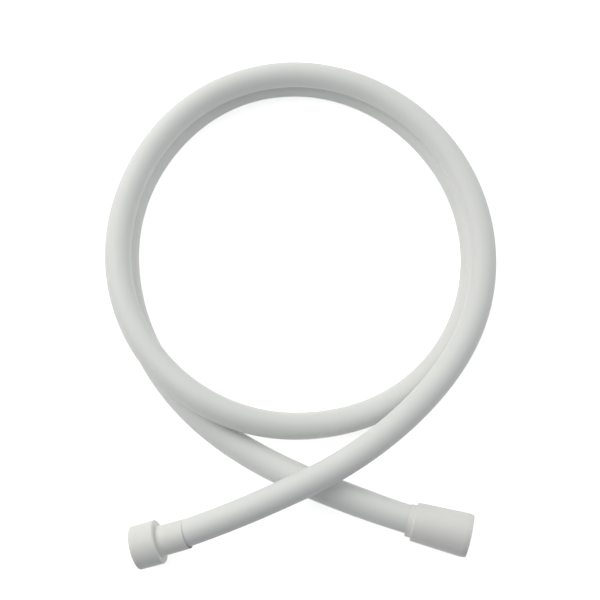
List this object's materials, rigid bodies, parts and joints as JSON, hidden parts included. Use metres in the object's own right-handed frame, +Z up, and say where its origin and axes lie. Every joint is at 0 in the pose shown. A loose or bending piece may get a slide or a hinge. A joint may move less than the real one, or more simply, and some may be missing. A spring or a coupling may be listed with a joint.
{
  "type": "shower hose",
  "caption": "Smooth flexible shower hose laid in two round turns, with a round swivel nut on one end and a conical swivel nut on the other.",
  "frame": {"origin": "centre of the underside of the laid-down hose, on the surface that it lies on", "axes": "+Z up from the surface, +Y from the two nuts towards the far side of the turns, +X towards the conical nut's side"},
  "size_m": [0.2312, 0.3135, 0.0316],
  "materials": {
    "hose_plastic": "satin white PVC",
    "nut_plastic": "satin white moulded plastic",
    "ferrule_plastic": "satin white moulded plastic",
    "tail_brass": "turned",
    "washer_rubber": "matt black"
  },
  "bodies": {
    "hose": {"hose": "hose_plastic", "tap_tail": "tail_brass", "tap_ferrule": "ferrule_plastic", "handset_tail": "tail_brass", "handset_ferrule": "ferrule_plastic"},
    "tap_nut": {"tap_nut": "nut_plastic", "tap_washer": "washer_rubber"},
    "handset_nut": {"handset_nut": "nut_plastic", "handset_washer": "washer_rubber"}
  },
  "joints": [
    {"name": "tap_nut_swivel", "type": "hinge", "parent": "hose", "child": "tap_nut", "pos_m": [-0.0896, -0.1454, 0.01159], "axis": [0.9527, 0.2366, 0.1908], "continuous": true},
    {"name": "handset_nut_swivel", "type": "hinge", "parent": "hose", "child": "handset_nut", "pos_m": [0.093, -0.1391, 0.01221], "axis": [-0.9646, 0.2594, -0.0471], "continuous": true}
  ]
}
